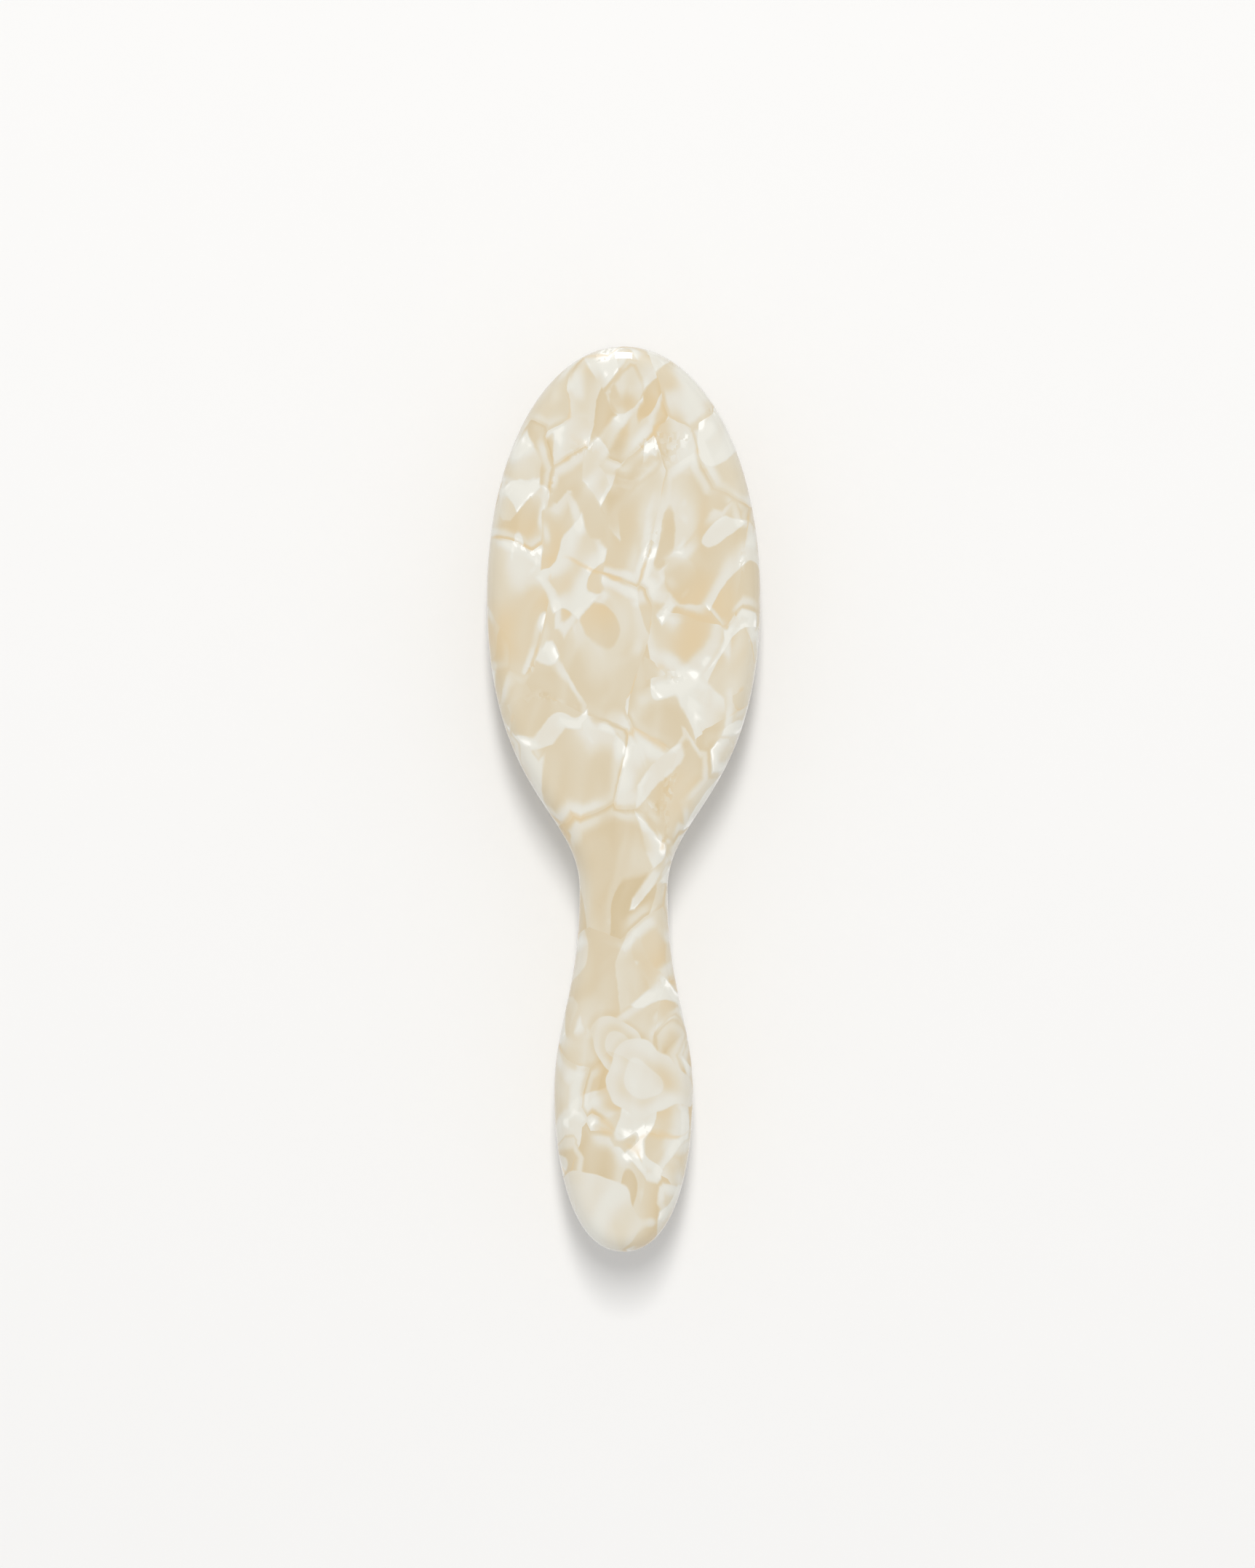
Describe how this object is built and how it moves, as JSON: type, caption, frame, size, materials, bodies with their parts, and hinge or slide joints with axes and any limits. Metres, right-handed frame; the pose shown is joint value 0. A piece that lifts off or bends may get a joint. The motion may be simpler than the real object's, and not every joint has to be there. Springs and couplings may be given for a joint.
{
  "type": "vanity hairbrush",
  "caption": "Oval cushion hairbrush cut from one marbled acetate slab, with a vented rubber pad and ball-tipped nylon pins that sway in rows.",
  "frame": {"origin": "middle of the brush's length and width, level with the lowest pin tip", "axes": "+Z out of the flat back, +Y from the grip to the tip of the head, +X to the right seen from the back"},
  "size_m": [0.0634, 0.21, 0.0335],
  "materials": {
    "acetate": "polished, pearl-marbled cream",
    "rubber": "matt, cream",
    "cloth": "plain weave",
    "nylon": "smooth, slightly translucent"
  },
  "bodies": {
    "brush": {"handle_body": "acetate", "cushion": "rubber"},
    "pad": {"lining": "cloth"},
    "row_1": {"pin_row_1": "nylon"},
    "row_2": {"pin_row_2": "nylon"},
    "row_3": {"pin_row_3": "nylon"},
    "row_4": {"pin_row_4": "nylon"},
    "row_5": {"pin_row_5": "nylon"},
    "row_6": {"pin_row_6": "nylon"},
    "row_7": {"pin_row_7": "nylon"},
    "row_8": {"pin_row_8": "nylon"},
    "row_9": {"pin_row_9": "nylon"},
    "row_10": {"pin_row_10": "nylon"},
    "row_11": {"pin_row_11": "nylon"}
  },
  "joints": [
    {"name": "cushion_press", "type": "slide", "parent": "brush", "child": "pad", "axis": [0, 0, 1], "range_m": [0, 0.003], "stiffness_N_per_m": 3000, "deforming": ["cushion", "lining"]},
    {"name": "row_1_sway", "type": "hinge", "parent": "pad", "child": "row_1", "pos_m": [-0.02, 0.049, 0.01775], "axis": [0, 1, 0], "range_deg": [-10, 10], "stiffness_Nm_per_rad": 0.12},
    {"name": "row_2_sway", "type": "hinge", "parent": "pad", "child": "row_2", "pos_m": [-0.016, 0.049, 0.01775], "axis": [0, 1, 0], "range_deg": [-10, 10], "stiffness_Nm_per_rad": 0.18},
    {"name": "row_3_sway", "type": "hinge", "parent": "pad", "child": "row_3", "pos_m": [-0.012, 0.049, 0.01775], "axis": [0, 1, 0], "range_deg": [-10, 10], "stiffness_Nm_per_rad": 0.24},
    {"name": "row_4_sway", "type": "hinge", "parent": "pad", "child": "row_4", "pos_m": [-0.008, 0.049, 0.01775], "axis": [0, 1, 0], "range_deg": [-10, 10], "stiffness_Nm_per_rad": 0.3},
    {"name": "row_5_sway", "type": "hinge", "parent": "pad", "child": "row_5", "pos_m": [-0.004, 0.049, 0.01775], "axis": [0, 1, 0], "range_deg": [-10, 10], "stiffness_Nm_per_rad": 0.28},
    {"name": "row_6_sway", "type": "hinge", "parent": "pad", "child": "row_6", "pos_m": [0, 0.049, 0.01775], "axis": [0, 1, 0], "range_deg": [-10, 10], "stiffness_Nm_per_rad": 0.3},
    {"name": "row_7_sway", "type": "hinge", "parent": "pad", "child": "row_7", "pos_m": [0.004, 0.049, 0.01775], "axis": [0, 1, 0], "range_deg": [-10, 10], "stiffness_Nm_per_rad": 0.28},
    {"name": "row_8_sway", "type": "hinge", "parent": "pad", "child": "row_8", "pos_m": [0.008, 0.049, 0.01775], "axis": [0, 1, 0], "range_deg": [-10, 10], "stiffness_Nm_per_rad": 0.3},
    {"name": "row_9_sway", "type": "hinge", "parent": "pad", "child": "row_9", "pos_m": [0.012, 0.049, 0.01775], "axis": [0, 1, 0], "range_deg": [-10, 10], "stiffness_Nm_per_rad": 0.24},
    {"name": "row_10_sway", "type": "hinge", "parent": "pad", "child": "row_10", "pos_m": [0.016, 0.049, 0.01775], "axis": [0, 1, 0], "range_deg": [-10, 10], "stiffness_Nm_per_rad": 0.18},
    {"name": "row_11_sway", "type": "hinge", "parent": "pad", "child": "row_11", "pos_m": [0.02, 0.049, 0.01775], "axis": [0, 1, 0], "range_deg": [-10, 10], "stiffness_Nm_per_rad": 0.12}
  ]
}
